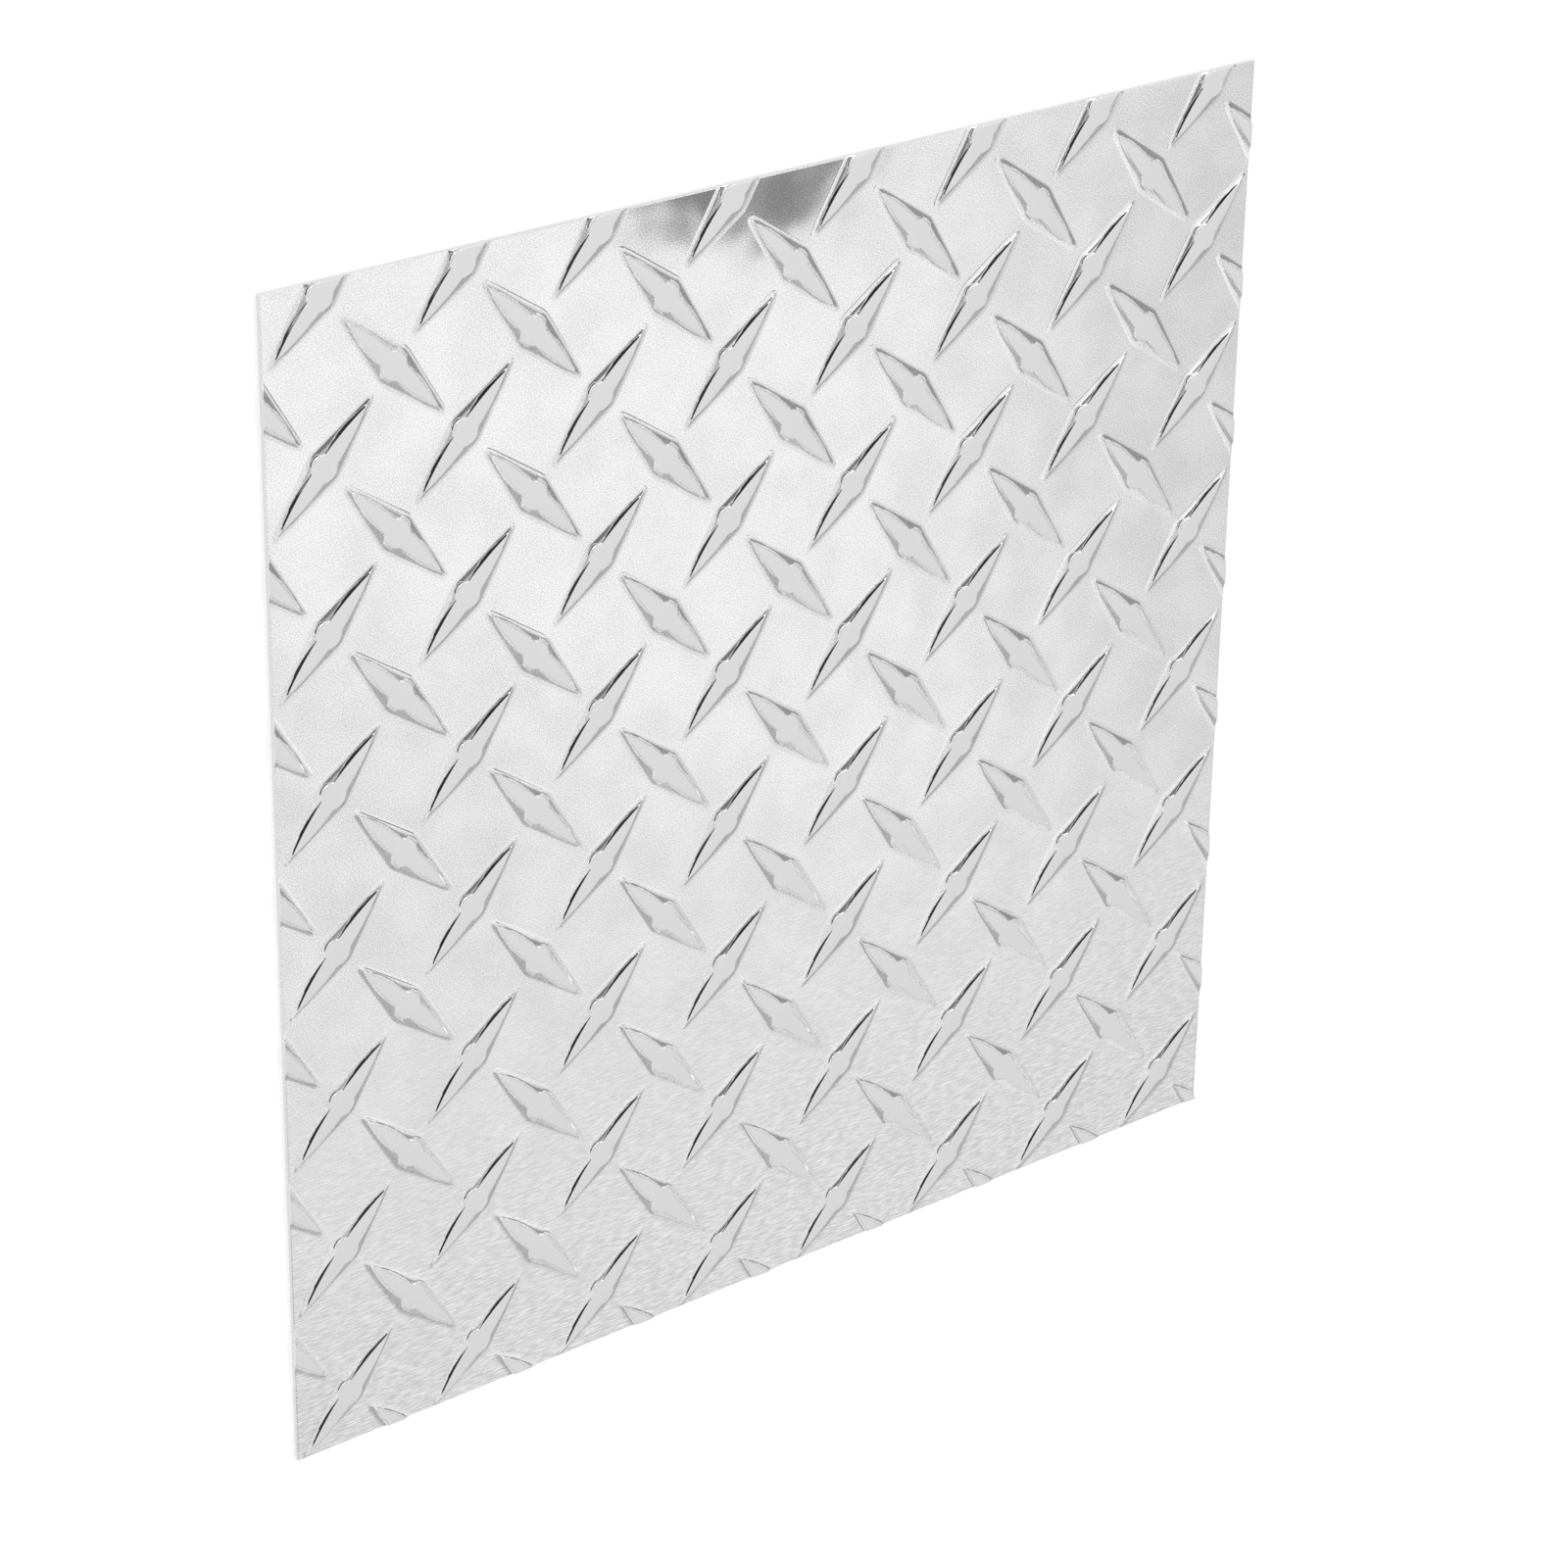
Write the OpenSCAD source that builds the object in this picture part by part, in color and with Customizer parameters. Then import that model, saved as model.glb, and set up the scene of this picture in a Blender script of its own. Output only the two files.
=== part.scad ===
// Aluminium checker plate: a square of rolled tread sheet lying on its plain back.
// Millimetres, +Z up. The origin is the centre of the back face.

/* [Sheet] */
// Length of the sheet along X
sheet_x = 304.8; // [120:0.1:420]
// Length of the sheet along Y
sheet_y = 304.8; // [120:0.1:420]
// Thickness of the sheet between the lugs
sheet_t = 1.14; // [0.6:0.01:6]

/* [Tread pattern] */
// Distance along X between neighbouring lugs that lean the same way
pitch_x = 39.15; // [36:0.05:60]
// Distance along Y between neighbouring lugs that lean the same way
pitch_y = 41; // [36:0.05:60]
// Place along X of the lug nearest the middle of the sheet
pattern_x = 0.3; // [-15:0.1:15]
// Place along Y of the lug nearest the middle of the sheet
pattern_y = 5.3; // [-15:0.1:15]

/* [Lug crest] */
// Height of a lug above the sheet
lug_height = 0.7; // [0.3:0.05:1.5]
// Length of the crest from tip to tip at its foot
crest_length = 37.2; // [24:0.1:44]
// Width of the crest's long arcs at their foot
crest_width = 5.7; // [4:0.1:9]
// Diameter at its foot of the round boss in the middle of the crest
boss_d = 8.1; // [6:0.1:12]
// Lean of the crest's flanks away from upright, in degrees
flank_angle = 45; // [10:1:50]

/* [Lug skirt] */
// Length from tip to tip of the low pointed skirt round the crest
skirt_length = 38; // [24:0.1:46]
// Width of the skirt between its opposite sides
skirt_width = 9.4; // [7:0.1:14]
// Slope of the skirt's sides, in degrees
skirt_slope = 16.5; // [10:0.5:30]

/* [Hidden] */

// The crest's foot is a lens of two equal arcs: their radius, and how far
// each arc's centre lies across the lug from its axis
arc_r = (pow(crest_length / 2, 2) + pow(crest_width / 2, 2)) / crest_width;
arc_offset = arc_r - crest_width / 2;
flank_spread = tan(flank_angle);

// The skirt's sides: their angle to the lug's axis, how far they spread for
// each millimetre of depth, and how high they would climb under the crest
skirt_turn = asin(skirt_width / skirt_length);
skirt_spread = 1 / tan(skirt_slope);
skirt_rise = 0.8 * min(lug_height, skirt_width / 2 / skirt_spread);

// The lugs stand on a root inside the sheet, with their sides carried down to it
lug_root = 0.2;

// Lugs point along the diagonals of the pattern's rectangle
lug_lean = atan2(pitch_y, pitch_x);

// Half of the rolled pattern, in whole pitches, that covers the sheet
columns = ceil(sheet_x / 2 / pitch_x) + 1;
rows = ceil(sheet_y / 2 / pitch_y) + 1;

// Width of rolled sheet that is sheared off all round
trim = 10;

$fn = 180;

// A cone frustum through the sheet's surface, of radius r there
module flank(r) {
    translate([0, 0, sheet_t - lug_root])
        cylinder(
            h = lug_root + lug_height,
            r1 = r + lug_root * flank_spread,
            r2 = r - lug_height * flank_spread
        );
}

// The crisp crest: two arced flanks that meet in the tips, and a round boss
module crest() {
    intersection() {
        translate([0, -arc_offset, 0]) flank(arc_r);
        translate([0, arc_offset, 0]) flank(arc_r);
    }
    flank(boss_d / 2);
}

// A long bar with two sloped sides, which lie opposite each other on the skirt
module skirt_bar() {
    foot = skirt_width / 2 + lug_root * skirt_spread;
    top = skirt_width / 2 - skirt_rise * skirt_spread;
    translate([0, 0, sheet_t])
        rotate([90, 0, 90])
            linear_extrude(2 * skirt_length, center = true)
                polygon([
                    [-foot, -lug_root],
                    [foot, -lug_root],
                    [top, skirt_rise],
                    [-top, skirt_rise]
                ]);
}

// The low skirt: two bars crossed so that their sides meet in points at the tips
module skirt() {
    intersection() {
        rotate(skirt_turn) skirt_bar();
        rotate(-skirt_turn) skirt_bar();
    }
}

// One raised lug along X
module lug() {
    skirt();
    crest();
}

// True where a lug centred at place reaches the sheet
function on_sheet(place) =
    abs(place.x) < sheet_x / 2 + skirt_length / 2 * cos(lug_lean) &&
    abs(place.y) < sheet_y / 2 + skirt_length / 2 * sin(lug_lean);

// Lugs that lean the same way, on the corners of the pattern's rectangles
module lug_rows(start, lean) {
    for (i = [-columns : columns], j = [-rows : rows]) {
        place = start + [i * pitch_x, j * pitch_y];
        if (on_sheet(place))
            translate(place) rotate(lean) lug();
    }
}

// The rolled stock before it is sheared
module rolled_sheet() {
    translate([-sheet_x / 2 - trim, -sheet_y / 2 - trim, 0])
        cube([sheet_x + 2 * trim, sheet_y + 2 * trim, sheet_t]);
    lug_rows([pattern_x, pattern_y], -lug_lean);
    lug_rows([pattern_x + pitch_x / 2, pattern_y + pitch_y / 2], lug_lean);
}

module checker_plate() {
    color("gainsboro")
        intersection() {
            rolled_sheet();
            translate([-sheet_x / 2, -sheet_y / 2, 0])
                cube([sheet_x, sheet_y, sheet_t + lug_height]);
        }
}

checker_plate();
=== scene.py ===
import math

import bmesh
import bpy
import numpy as np
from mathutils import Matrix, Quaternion, Vector
from mathutils.geometry import delaunay_2d_cdt


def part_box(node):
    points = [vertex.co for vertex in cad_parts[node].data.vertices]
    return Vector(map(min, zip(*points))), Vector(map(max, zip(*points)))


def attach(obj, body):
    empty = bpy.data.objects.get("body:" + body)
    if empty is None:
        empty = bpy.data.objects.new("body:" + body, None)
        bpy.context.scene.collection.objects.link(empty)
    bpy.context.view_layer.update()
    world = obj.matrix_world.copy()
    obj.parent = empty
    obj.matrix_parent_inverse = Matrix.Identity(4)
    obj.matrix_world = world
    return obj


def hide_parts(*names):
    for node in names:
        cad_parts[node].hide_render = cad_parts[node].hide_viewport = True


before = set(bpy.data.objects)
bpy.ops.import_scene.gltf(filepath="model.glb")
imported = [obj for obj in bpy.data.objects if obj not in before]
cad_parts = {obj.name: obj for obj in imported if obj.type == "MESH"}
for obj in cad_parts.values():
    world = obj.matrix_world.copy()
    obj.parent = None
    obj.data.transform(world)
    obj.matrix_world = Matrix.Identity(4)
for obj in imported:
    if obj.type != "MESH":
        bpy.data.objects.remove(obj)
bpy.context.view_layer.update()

# The tread is worked out in millimetres, and Blender is given metres
MM = 0.001
PLATE_NODE = "checker_plate"

# Tread pattern
PITCH = np.array([39.15, 41.0])
PATTERN_PLACE = np.array([0.3, 5.3])
LUG_LEAN = math.atan2(PITCH[1], PITCH[0])
LUG_HEIGHT = 0.7

# Crest of a lug: a lens of two arcs with a round boss, measured at its top edge. Its top falls
# a little towards the tips, and its flank is steeper round the boss.
CREST_LENGTH = 34.6
CREST_WIDTH = 4.5
CREST_BOSS_D = 6.9
CREST_BLEND = 0.35
CREST_TIP_ROUND = 0.12
CREST_CROWN = 0.02
CREST_FALL = 0.28
CREST_EDGE_ROUND = 0.07
FLANK_TILT = math.radians(36)
BOSS_FLANK_TILT = math.radians(47)
FLANK_FILLET = 0.03

# Skirt of a lug: a low pointed rise round the crest that runs out softly into the sheet
SKIRT_LENGTH = 38.0
SKIRT_BOSS_D = 8.4
SKIRT_TILT = math.radians(25)
SKIRT_FADE = 1.6
SKIRT_TOP = 0.5
SKIRT_TOP_FADE = 0.04

# Sheared edges: the tread side rolls over a little, and the back has its edge broken
ROLLOVER_WIDTH = 0.45
ROLLOVER_DROP = 0.04
ROLLOVER_LOOPS = (0.06, 0.16, 0.3, 0.45)
BACK_BREAK = 0.06

# The lug's mesh: stations along one side, as shares of the crest's half length, and its rings:
# one inside the crest, some across the flank, by distance from the crest's top edge, and
# some across the skirt, as shares of it
STATIONS = (1.0, 0.965, 0.9, 0.8, 0.68, 0.54, 0.41, 0.31, 0.25,
            0.21, 0.185, 0.165, 0.148, 0.13, 0.105, 0.07, 0.035, 0.0)
INNER_RING = 0.55
FLANK_RINGS = (-0.07, -0.01, 0.05, 0.12, 0.24, 0.36, 0.52)
SKIRT_RINGS = (0.33, 0.67, 1.0)
RING_SEARCH_STEPS = 50
SLOPE_STEP = 0.001

# Distances in millimetres under which points count as one: in the flats, at a cut and on a side
FLAT_MERGE = 1e-6
CUT_MERGE = 1e-5
SIDE_MERGE = 1e-4

# Sizes that follow from these
plate_low, plate_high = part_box(PLATE_NODE)
SHEET = np.array([plate_high.x - plate_low.x, plate_high.y - plate_low.y]) / MM
SHEET_TOP = plate_high.z / MM - LUG_HEIGHT
ARC_R = ((CREST_LENGTH / 2) ** 2 + (CREST_WIDTH / 2) ** 2) / CREST_WIDTH
ARC_OFFSET = ARC_R - CREST_WIDTH / 2


# Tread surface

def soft_ramp(x, fade):
    """0 below 0 and x above it, with a smooth bend that is fade wide to both sides."""
    bend = (x + fade) ** 2 / (4 * fade)
    return np.where(x < -fade, 0, np.where(x > fade, x, bend))


def crest_distance(s, t):
    """Signed distance from the crest's outline at s along a lug and t across it, less than 0 inside.

    Round the boss it grows faster, as the flank is steeper there.
    """
    half = CREST_LENGTH / 2
    along = np.abs(s)
    across = np.sqrt(t * t + CREST_TIP_ROUND ** 2)
    past_tip = (along - half) * ARC_OFFSET > across * half
    lens = np.where(
        past_tip,
        np.hypot(along - half, across),
        np.hypot(along, across + ARC_OFFSET) - ARC_R,
    )
    steeper = math.tan(BOSS_FLANK_TILT) / math.tan(FLANK_TILT)
    boss = (np.hypot(s, t) - CREST_BOSS_D / 2) * steeper
    return boss - soft_ramp(boss - lens, CREST_BLEND)


def skirt_distance(s, t):
    """Signed distance from the skirt's foot: a circle with straight sides that meet in two points."""
    half = SKIRT_LENGTH / 2
    radius = SKIRT_BOSS_D / 2
    along = np.abs(s)
    across = np.abs(t)
    lean = radius / half
    rise = math.sqrt(1 - lean * lean)
    side = along * lean + across * rise - radius
    run = along * rise - across * lean
    past_tip = run > half * rise
    return np.where(
        past_tip,
        np.hypot(along - half, across),
        np.where(run < 0, np.hypot(s, t) - radius, side),
    )


def lug_height(s, t):
    """Height of a lug above the sheet."""
    climb = soft_ramp(-skirt_distance(s, t), SKIRT_FADE) * math.tan(SKIRT_TILT)
    skirt = SKIRT_TOP - soft_ramp(SKIRT_TOP - climb, SKIRT_TOP_FADE)
    crown = CREST_CROWN * np.clip(np.abs(t) * 2 / CREST_WIDTH, 0, 1) ** 2
    fall = CREST_FALL * (s * 2 / CREST_LENGTH) ** 2
    crest = LUG_HEIGHT - crown - fall
    flank = crest - soft_ramp(crest_distance(s, t), CREST_EDGE_ROUND) * math.tan(FLANK_TILT)
    return skirt + soft_ramp(flank - skirt, FLANK_FILLET)


def lattices():
    """The two sets of lugs: where one of each stands, and which way it leans."""
    yield PATTERN_PLACE, -LUG_LEAN
    yield PATTERN_PLACE + PITCH / 2, LUG_LEAN


def tread_rise(xy):
    """Height of the tread above the flat of the sheet."""
    highest = np.zeros(len(xy))
    for place, lean in lattices():
        site = np.round((xy - place) / PITCH)
        for step in np.ndindex(3, 3):
            offset = xy - place - (site + np.array(step) - 1) * PITCH
            s = offset @ np.array([math.cos(lean), math.sin(lean)])
            t = offset @ np.array([-math.sin(lean), math.cos(lean)])
            highest = np.maximum(highest, lug_height(s, t))
    return highest


def tread_height(xy):
    """Height of the tread side above the back, in millimetres."""
    from_edge = (SHEET / 2 - np.abs(xy)).min(axis=1)
    over = np.clip(1 - from_edge / ROLLOVER_WIDTH, 0, 1)
    return SHEET_TOP + tread_rise(xy) - ROLLOVER_DROP * over ** 2


def tread_normals(xy):
    """True normals of the tread side, from its slopes."""
    half = SLOPE_STEP / 2
    slopes = [
        (tread_height(xy + step) - tread_height(xy - step)) / SLOPE_STEP
        for step in (np.array([half, 0]), np.array([0, half]))
    ]
    normals = np.column_stack([-slopes[0], -slopes[1], np.ones(len(xy))])
    return normals / np.linalg.norm(normals, axis=1, keepdims=True)


# Mesh of the plate

def station_rays():
    """Directions from a lug's middle through the stations of its crest, all the way round."""
    s = CREST_LENGTH / 2 * np.array(STATIONS)
    lens = np.sqrt(ARC_R ** 2 - s ** 2) - ARC_OFFSET
    boss = np.sqrt(np.clip((CREST_BOSS_D / 2) ** 2 - s ** 2, 0, None))
    quarter = np.column_stack([s, np.maximum(lens, boss)])
    mirrored = quarter[-2::-1] * (-1, 1)
    upper = np.concatenate([quarter, mirrored])
    rays = np.concatenate([upper, -upper[1:-1]])
    return rays / np.linalg.norm(rays, axis=1, keepdims=True)


def reach_of(distance, rays, level):
    """How far along each ray a distance function first reaches a level."""
    near = np.zeros(len(rays))
    far = np.full(len(rays), SKIRT_LENGTH)
    for _ in range(RING_SEARCH_STEPS):
        middle = (near + far) / 2
        points = rays * middle[:, None]
        outside = distance(points[:, 0], points[:, 1]) > level
        far = np.where(outside, middle, far)
        near = np.where(outside, near, middle)
    return far


def lug_rings():
    """Points of one lug's rings, ring by ring from the inside."""
    rays = station_rays()
    flank = [reach_of(crest_distance, rays, distance) for distance in FLANK_RINGS]
    foot = reach_of(skirt_distance, rays, SKIRT_FADE)
    skirt = [flank[-1] + (foot - flank[-1]) * share for share in SKIRT_RINGS]
    radii = [flank[0] * INNER_RING, *flank, *skirt]
    return np.array([rays * radius[:, None] for radius in radii])


def lug_places():
    """Place and lean of every lug that reaches the sheet."""
    reach = SKIRT_LENGTH / 2 + SKIRT_FADE
    limit = SHEET / 2 + reach * np.array([math.cos(LUG_LEAN), math.sin(LUG_LEAN)])
    count = np.ceil(limit / PITCH).astype(int)
    for place, lean in lattices():
        for i in range(-count[0], count[0] + 1):
            for j in range(-count[1], count[1] + 1):
                centre = place + PITCH * (i, j)
                if (np.abs(centre) < limit).all():
                    yield centre, lean


def tread_mesh():
    """The tread side of a stretch of rolled sheet, larger than the plate, as points and faces."""
    rings = lug_rings()
    ring_count, around = rings.shape[:2]
    points = []
    faces = []
    outer_loops = []
    for centre, lean in lug_places():
        turn = np.array([[math.cos(lean), math.sin(lean)], [-math.sin(lean), math.cos(lean)]])
        first = len(points)
        points.append(centre)
        points.extend((rings.reshape(-1, 2) @ turn + centre).tolist())
        for k in range(around):
            after = (k + 1) % around
            faces.append((first, first + 1 + k, first + 1 + after))
            for ring in range(ring_count - 1):
                inner = first + 1 + ring * around
                outer = inner + around
                faces.append((inner + k, outer + k, outer + after, inner + after))
        last = first + 1 + (ring_count - 1) * around
        outer_loops.append(list(range(last, last + around)))
    add_flats(points, faces, outer_loops)
    return np.array(points), faces


def add_flats(points, faces, outer_loops):
    """Fills the flat sheet between the lugs with triangles."""
    corner = SHEET / 2 + SKIRT_LENGTH
    corners = [len(points) + k for k in range(4)]
    points.extend((corner * sign).tolist() for sign in ((-1, -1), (1, -1), (1, 1), (-1, 1)))
    used = [index for loop in outer_loops for index in loop] + corners
    place = {index: k for k, index in enumerate(used)}
    holes = [[place[index] for index in loop] for loop in outer_loops]
    flat = [Vector(points[index]) for index in used]
    _, _, triangles, origin, _, within = delaunay_2d_cdt(flat, [], holes, 0, FLAT_MERGE)
    for triangle, inside in zip(triangles, within):
        if not inside:
            faces.append(tuple(used[origin[k][0]] for k in triangle))


def shear(bm):
    """Cuts the rolled sheet to the plate's outline, with loops for the rolled-over edge."""
    for axis in (0, 1):
        for side in (-1, 1):
            normal = Vector((0, 0, 0))
            normal[axis] = side
            for inset in (0.0, *ROLLOVER_LOOPS):
                bmesh.ops.bisect_plane(
                    bm,
                    geom=bm.verts[:] + bm.edges[:] + bm.faces[:],
                    plane_co=normal * float(SHEET[axis] / 2 - inset),
                    plane_no=normal,
                    clear_outer=inset == 0.0,
                    dist=CUT_MERGE,
                )


def add_back(bm):
    """Closes the sheet with its four sheared sides, a broken edge and the plain back."""
    half = SHEET / 2
    turns = ((-1, -1), (1, -1), (1, 1), (-1, 1))
    lower = [bm.verts.new((half[0] * x, half[1] * y, BACK_BREAK)) for x, y in turns]
    back = [
        bm.verts.new(((half[0] - BACK_BREAK) * x, (half[1] - BACK_BREAK) * y, 0.0)) for x, y in turns
    ]
    rim = [edge for edge in bm.edges if edge.is_boundary]
    rim_verts = {vert for edge in rim for vert in edge.verts}
    for k in range(4):
        start = turns[k]
        end = turns[(k + 1) % 4]
        fixed = 0 if start[0] == end[0] else 1
        running = 1 - fixed
        side = [v for v in rim_verts if abs(v.co[fixed] - half[fixed] * start[fixed]) < SIDE_MERGE]
        side.sort(key=lambda v: v.co[running] * (end[running] - start[running]), reverse=True)
        wall = bm.faces.new([lower[k], lower[(k + 1) % 4], *side])
        wall.material_index = 1
        edge_break = bm.faces.new([back[k], back[(k + 1) % 4], lower[(k + 1) % 4], lower[k]])
        edge_break.material_index = 1
    face = bm.faces.new(back[::-1])
    face.material_index = 2


def make_plate():
    """The plate's mesh, with the tread's true normals."""
    points, faces = tread_mesh()
    flat = bpy.data.meshes.new("rolled_sheet")
    flat.from_pydata(np.column_stack([points, np.zeros(len(points))]).tolist(), [], faces)
    bm = bmesh.new()
    bm.from_mesh(flat)
    bpy.data.meshes.remove(flat)
    bmesh.ops.recalc_face_normals(bm, faces=bm.faces[:])
    if sum(face.normal.z for face in bm.faces) < 0:
        bmesh.ops.reverse_faces(bm, faces=bm.faces[:])
    shear(bm)
    heights = tread_height(np.array([vert.co.xy for vert in bm.verts]))
    for vert, height in zip(bm.verts, heights):
        vert.co.z = height
    add_back(bm)
    for face in bm.faces:
        face.smooth = True
    mesh = bpy.data.meshes.new("tread_plate")
    bm.to_mesh(mesh)
    bm.free()
    set_normals(mesh)
    mesh.transform(((MM, 0, 0, 0), (0, MM, 0, 0), (0, 0, MM, 0), (0, 0, 0, 1)))
    plate = bpy.data.objects.new("tread_plate", mesh)
    bpy.context.scene.collection.objects.link(plate)
    return plate


def set_normals(mesh):
    """Gives the tread its true normals, and every other face its own flat one."""
    corner_vert = np.zeros(len(mesh.loops), int)
    mesh.loops.foreach_get("vertex_index", corner_vert)
    totals = np.zeros(len(mesh.polygons), int)
    mesh.polygons.foreach_get("loop_total", totals)
    material = np.zeros(len(mesh.polygons), int)
    mesh.polygons.foreach_get("material_index", material)
    flat = np.zeros(len(mesh.polygons) * 3)
    mesh.polygons.foreach_get("normal", flat)
    corner_normals = np.repeat(flat.reshape(-1, 3), totals, axis=0)
    coords = np.zeros(len(mesh.vertices) * 3)
    mesh.vertices.foreach_get("co", coords)
    on_tread = np.repeat(material == 0, totals)
    verts = corner_vert[on_tread]
    corner_normals[on_tread] = tread_normals(coords.reshape(-1, 3)[:, :2])[verts]
    mesh.normals_split_custom_set(corner_normals.tolist())


# Shader helpers

def new_material(name):
    """An empty node material."""
    material = bpy.data.materials.new(name)
    material.use_nodes = True
    material.node_tree.nodes.clear()
    return material, material.node_tree


def add_node(tree, kind, values=None, **settings):
    """Adds a node, sets its properties, and sets or links its inputs."""
    made = tree.nodes.new(kind)
    for key, value in settings.items():
        setattr(made, key, value)
    for key, value in (values or {}).items():
        socket = made.inputs[key]
        if isinstance(value, bpy.types.NodeSocket):
            tree.links.new(value, socket)
        else:
            socket.default_value = value
    return made


def map_range(tree, value, low, high, to_low, to_high):
    """Maps a value smoothly from one range to another."""
    node = add_node(
        tree,
        "ShaderNodeMapRange",
        {"Value": value, "From Min": low, "From Max": high, "To Min": to_low, "To Max": to_high},
        interpolation_type="SMOOTHSTEP",
    )
    return node.outputs["Result"]


def math_node(tree, operation, first, second):
    """Two values joined by an operation."""
    return add_node(tree, "ShaderNodeMath", {0: first, 1: second}, operation=operation).outputs[0]


def blend(tree, share, first, second):
    """A value part of the way from one to another."""
    return add_node(tree, "ShaderNodeMix", {0: share, 2: first, 3: second}).outputs[0]


def bump(tree, height, distance, normal=None):
    """A bump of a height map, on top of another one if that is given."""
    values = {"Height": height, "Distance": distance * MM, "Strength": 1}
    if normal is not None:
        values["Normal"] = normal
    return add_node(tree, "ShaderNodeBump", values).outputs["Normal"]


# Finishes

def rolled_place(tree, turn, scale):
    """Place on the plate in millimetres, turned about Z and scaled along each axis."""
    place = add_node(tree, "ShaderNodeTexCoord").outputs["Object"]
    mapping = add_node(
        tree,
        "ShaderNodeMapping",
        {"Vector": place, "Rotation": (0, 0, turn), "Scale": tuple(k / MM for k in scale)},
    )
    return mapping.outputs["Vector"]


def noise(tree, place, scale, detail, roughness=0.5):
    """Grey noise at a place."""
    values = {"Vector": place, "Scale": scale, "Detail": detail, "Roughness": roughness}
    return add_node(tree, "ShaderNodeTexNoise", values).outputs["Fac"]


# Greys of the tread side: bright flats, dull and light streaks, and the lugs' tops
TREAD_BRIGHT = 0.87
TREAD_DULL = 0.69
TREAD_STREAK = 1.0
CREST_GREY = 0.91
CREST_ROUGHNESS = 0.42
GRAIN_TONE = 0.17
CLOUD_TONE = 0.04
STREAK_TURN = math.radians(12)
# Roughness of the flats, which clouds vary, and of worn flats
MIRROR_ROUGHNESS = (0.03, 0.06)
WORN_ROUGHNESS = 0.14
# Where the finish changes: rise above the flats, how level the surface is, and place along Y
TOP_RISE = (0.15, 0.3)
TOP_LEVEL = (0.97, 0.995)
FLAT_RISE = (0.02, 0.12)
WORN_Y = (0, -150)
# Noises: steps in a millimetre, the span of values that is used, and bump depth in millimetres
GRAIN_SCALE = 2.6
GRAIN_SPAN = (0.25, 0.75)
GRAIN_DEPTH = 0.002
WAVE_SCALE = 0.028
WAVE_DEPTH = 0.11
CLOUD_SCALE = 0.06
CLOUD_SPAN = (0.3, 0.7)
STREAK_SCALE = (0.28, 2.6, 1)
STREAK_SPAN = (0.35, 0.7)
STREAK_DEPTH = 0.045


def tread_finish():
    """Bright rolled aluminium: near mirror between the lugs, and duller on their tops."""
    material, tree = new_material("bright_tread_aluminium")
    output = add_node(tree, "ShaderNodeOutputMaterial")
    plain = rolled_place(tree, 0, (1, 1, 1))
    axes = add_node(tree, "ShaderNodeSeparateXYZ", {"Vector": plain})
    facing = add_node(tree, "ShaderNodeNewGeometry").outputs["Normal"]
    level = add_node(tree, "ShaderNodeSeparateXYZ", {"Vector": facing}).outputs["Z"]
    raised = map_range(tree, axes.outputs["Z"], SHEET_TOP + TOP_RISE[0], SHEET_TOP + TOP_RISE[1], 0, 1)
    top = math_node(tree, "MULTIPLY", raised, map_range(tree, level, *TOP_LEVEL, 0, 1))
    grain = noise(tree, plain, GRAIN_SCALE, 2, 0.6)
    wave = noise(tree, plain, WAVE_SCALE, 2)
    cloud = noise(tree, plain, CLOUD_SCALE, 3)
    streaks = noise(tree, rolled_place(tree, STREAK_TURN, STREAK_SCALE), 1.0, 3, 0.6)
    worn = map_range(tree, axes.outputs["Y"], *WORN_Y, 0, 1)
    flat = map_range(tree, axes.outputs["Z"], SHEET_TOP + FLAT_RISE[0], SHEET_TOP + FLAT_RISE[1], 1, 0)
    worn = math_node(tree, "MULTIPLY", worn, flat)
    streak_height = math_node(tree, "MULTIPLY", streaks, worn)
    mirror_roughness = map_range(tree, cloud, *CLOUD_SPAN, *MIRROR_ROUGHNESS)
    mirror_roughness = blend(tree, worn, mirror_roughness, WORN_ROUGHNESS)
    roughness = blend(tree, top, mirror_roughness, CREST_ROUGHNESS)
    light_streak = map_range(tree, streaks, *STREAK_SPAN, TREAD_DULL, TREAD_STREAK)
    speck = map_range(tree, grain, *GRAIN_SPAN, TREAD_BRIGHT - GRAIN_TONE, TREAD_BRIGHT + GRAIN_TONE)
    speck = math_node(tree, "ADD", speck, map_range(tree, cloud, *CLOUD_SPAN, -CLOUD_TONE, CLOUD_TONE))
    grey = blend(tree, worn, speck, light_streak)
    grey = blend(tree, top, grey, CREST_GREY)
    colour = add_node(tree, "ShaderNodeCombineColor", {"Red": grey, "Green": grey, "Blue": grey})
    normal = bump(tree, wave, WAVE_DEPTH)
    normal = bump(tree, streak_height, STREAK_DEPTH, normal)
    normal = bump(tree, grain, GRAIN_DEPTH, normal)
    shader = add_node(
        tree,
        "ShaderNodeBsdfPrincipled",
        {"Base Color": colour.outputs[0], "Metallic": 1, "Roughness": roughness, "Normal": normal},
    )
    tree.links.new(shader.outputs[0], output.inputs["Surface"])
    return material


# Bare metal of the sheared edges and the back, with their drag and rolling lines
BARE_ALUMINIUM = (0.8, 0.8, 0.805, 1)
DRAG_SCALE = (6, 6, 0.8)
DRAG_SPAN = (0.3, 0.7)
DRAG_ROUGHNESS = (0.35, 0.5)
DRAG_DEPTH = 0.02
LINE_SCALE = (0.04, 4, 1)
LINE_SPAN = (0.25, 0.75)
LINE_ROUGHNESS = (0.24, 0.4)
LINE_DEPTH = 0.006


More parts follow.
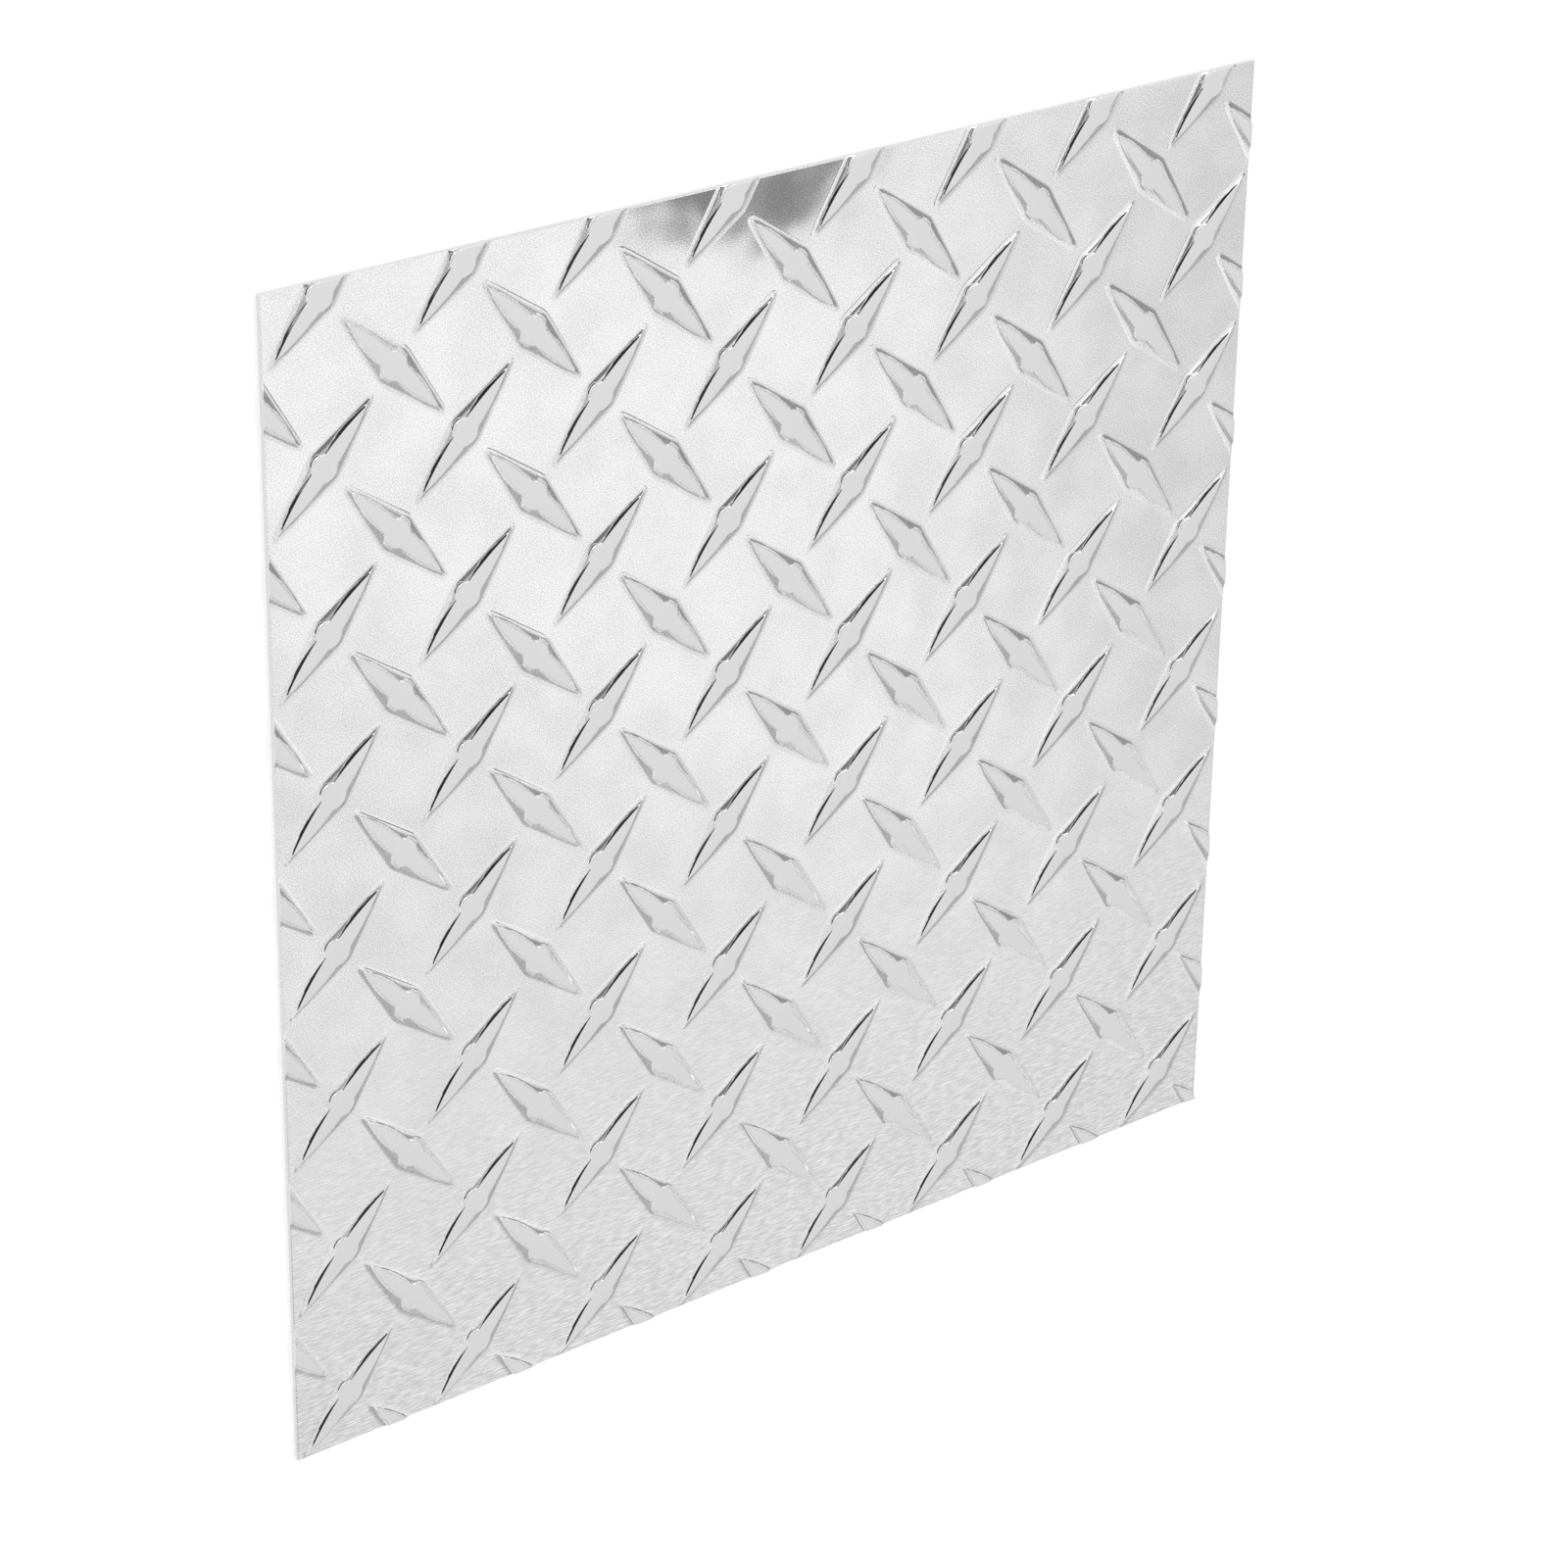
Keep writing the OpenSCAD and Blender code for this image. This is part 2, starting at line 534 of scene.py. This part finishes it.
def edge_finish():
    """Sheared edge: dull, with upright drag lines."""
    material, tree = new_material("sheared_edge_aluminium")
    output = add_node(tree, "ShaderNodeOutputMaterial")
    drag = noise(tree, rolled_place(tree, 0, DRAG_SCALE), 1.0, 3)
    roughness = map_range(tree, drag, *DRAG_SPAN, *DRAG_ROUGHNESS)
    shader = add_node(
        tree,
        "ShaderNodeBsdfPrincipled",
        {
            "Base Color": BARE_ALUMINIUM,
            "Metallic": 1,
            "Roughness": roughness,
            "Normal": bump(tree, drag, DRAG_DEPTH),
        },
    )
    tree.links.new(shader.outputs[0], output.inputs["Surface"])
    return material


def back_finish():
    """Plain back: a satin mill finish with straight rolling lines."""
    material, tree = new_material("mill_back_aluminium")
    output = add_node(tree, "ShaderNodeOutputMaterial")
    lines = noise(tree, rolled_place(tree, 0, LINE_SCALE), 1.0, 4, 0.6)
    roughness = map_range(tree, lines, *LINE_SPAN, *LINE_ROUGHNESS)
    shader = add_node(
        tree,
        "ShaderNodeBsdfPrincipled",
        {
            "Base Color": BARE_ALUMINIUM,
            "Metallic": 1,
            "Roughness": roughness,
            "Normal": bump(tree, lines, LINE_DEPTH),
        },
    )
    tree.links.new(shader.outputs[0], output.inputs["Surface"])
    return material


# Studio

FLOOR_SIZE = 12.0
FLOOR_GAP = 0.0002
FLOOR_GREY = 0.86
FLOOR_LIFT = 0.4


def make_floor():
    """A plain pale floor."""
    half = FLOOR_SIZE / 2
    mesh = bpy.data.meshes.new("floor")
    corners = [(-half, -half, 0), (half, -half, 0), (half, half, 0), (-half, half, 0)]
    mesh.from_pydata(corners, [], [(0, 1, 2, 3)])
    floor = bpy.data.objects.new("floor", mesh)
    floor.location.z = -FLOOR_GAP
    bpy.context.scene.collection.objects.link(floor)
    material, tree = new_material("pale_floor")
    output = add_node(tree, "ShaderNodeOutputMaterial")
    path = add_node(tree, "ShaderNodeLightPath")
    seen = math_node(tree, "MAXIMUM", path.outputs["Is Camera Ray"], path.outputs["Is Glossy Ray"])
    paint = add_node(tree, "ShaderNodeBsdfDiffuse", {"Color": (FLOOR_GREY, FLOOR_GREY, FLOOR_GREY, 1)})
    lift = math_node(tree, "MULTIPLY", seen, FLOOR_LIFT)
    glow = add_node(tree, "ShaderNodeEmission", {"Color": (1, 1, 1, 1), "Strength": lift})
    both = add_node(tree, "ShaderNodeAddShader", {0: paint.outputs[0], 1: glow.outputs[0]})
    tree.links.new(both.outputs[0], output.inputs["Surface"])
    mesh.materials.append(material)


# The dome is dimmer at the horizon, and has its full level from this height on
DOME_START = 0.5
HORIZON_LEVEL = 0.68
DOME_LEVEL = 0.84
# Panels of the studio dome, later ones over earlier ones:
# direction from the plate, half angle and soft edge in degrees, and brightness
PANELS = {
    "front light": ((0.55, -0.31, 0.775), 1, 11, 0.98),
    "left front card": ((0.22, -0.67, 0.71), 8, 8, 0.48),
    "low left card": ((0.10, -0.82, 0.56), 9, 6, 0.5),
    "low front light": ((0.47, -0.49, 0.735), 3, 4, 0.86),
    "right side card": ((0.75, -0.32, 0.58), 5, 7, 0.74),
    "low corner": ((0.75, -0.60, 0.28), 9, 10, 0.48),
    "side flag": ((0.81, -0.13, 0.57), 6, 6, 0.34),
    "rear light": ((-0.2, 0.72, 0.66), 10, 8, 1.12),
    "ceiling": ((0.10, 0.03, 0.99), 7, 4, 0.5),
    "overhead flag": ((0.33, -0.03, 0.94), 5, 4, 0.2),
    "strip light": ((0.49, -0.06, 0.87), 3, 1.5, 1.3),
    "lamp": ((0.51, 0.33, 0.79), 13, 3, 2.4),
    "back flag": ((-0.02, 0.52, 0.855), 12, 5, 0.03),
    "middle flag": ((-0.24, 0.35, 0.905), 10, 4, 0.03),
    "left flag": ((-0.42, 0.14, 0.90), 11, 4, 0.03),
    "small dark card": ((0.596, -0.291, 0.748), 1.72, 0.12, 0.27),
}


def make_world():
    """A soft studio dome with bright and dark panels. The camera sees plain white behind the floor."""
    world = bpy.data.worlds.new("studio")
    bpy.context.scene.world = world
    world.use_nodes = True
    tree = world.node_tree
    tree.nodes.clear()
    output = add_node(tree, "ShaderNodeOutputWorld")
    way = add_node(tree, "ShaderNodeTexCoord").outputs["Generated"]
    height = add_node(tree, "ShaderNodeSeparateXYZ", {"Vector": way}).outputs["Z"]
    level = map_range(tree, height, 0.0, DOME_START, HORIZON_LEVEL, DOME_LEVEL)
    for direction, half_angle, soft_edge, brightness in PANELS.values():
        facing = add_node(
            tree,
            "ShaderNodeVectorMath",
            {0: way, 1: Vector(direction).normalized()},
            operation="DOT_PRODUCT",
        ).outputs["Value"]
        inner = math.cos(math.radians(half_angle))
        outer = math.cos(math.radians(half_angle + soft_edge))
        level = blend(tree, map_range(tree, facing, outer, inner, 0, 1), level, brightness)
    seen = add_node(tree, "ShaderNodeLightPath").outputs["Is Camera Ray"]
    shown = blend(tree, seen, level, 1.0)
    background = add_node(tree, "ShaderNodeBackground", {"Color": (1, 1, 1, 1), "Strength": shown})
    tree.links.new(background.outputs[0], output.inputs["Surface"])


# Camera of the photograph: its place round the plate, the point that it looks at, and its roll
CAMERA_AZIMUTH = math.radians(143.934)
CAMERA_ELEVATION = math.radians(44.576)
CAMERA_DISTANCE = 1201.11
CAMERA_AIM = (-0.19, -10.14)
CAMERA_ROLL = math.radians(118.424)
CAMERA_LENS = 109.105
CAMERA_SENSOR = 36.0
CAMERA_REACH = 50


def make_camera():
    """The camera at the photograph's viewing angle."""
    data = bpy.data.cameras.new("camera")
    data.sensor_width = CAMERA_SENSOR
    data.lens = CAMERA_LENS
    data.clip_end = CAMERA_REACH
    camera = bpy.data.objects.new("camera", data)
    bpy.context.scene.collection.objects.link(camera)
    level = CAMERA_DISTANCE * math.cos(CAMERA_ELEVATION)
    place = Vector((
        level * math.cos(CAMERA_AZIMUTH),
        level * math.sin(CAMERA_AZIMUTH),
        CAMERA_DISTANCE * math.sin(CAMERA_ELEVATION) + SHEET_TOP,
    ))
    aim = Vector((*CAMERA_AIM, SHEET_TOP))
    upright = (aim - place).to_track_quat("-Z", "Y")
    camera.rotation_mode = "QUATERNION"
    camera.rotation_quaternion = upright @ Quaternion((0, 0, 1), CAMERA_ROLL)
    camera.location = place * MM
    bpy.context.scene.camera = camera


make_camera()
make_floor()
make_world()
plate = make_plate()
for finish in (tread_finish(), edge_finish(), back_finish()):
    plate.data.materials.append(finish)
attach(plate, "root")
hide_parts(PLATE_NODE)
bpy.context.scene.view_settings.view_transform = "Standard"
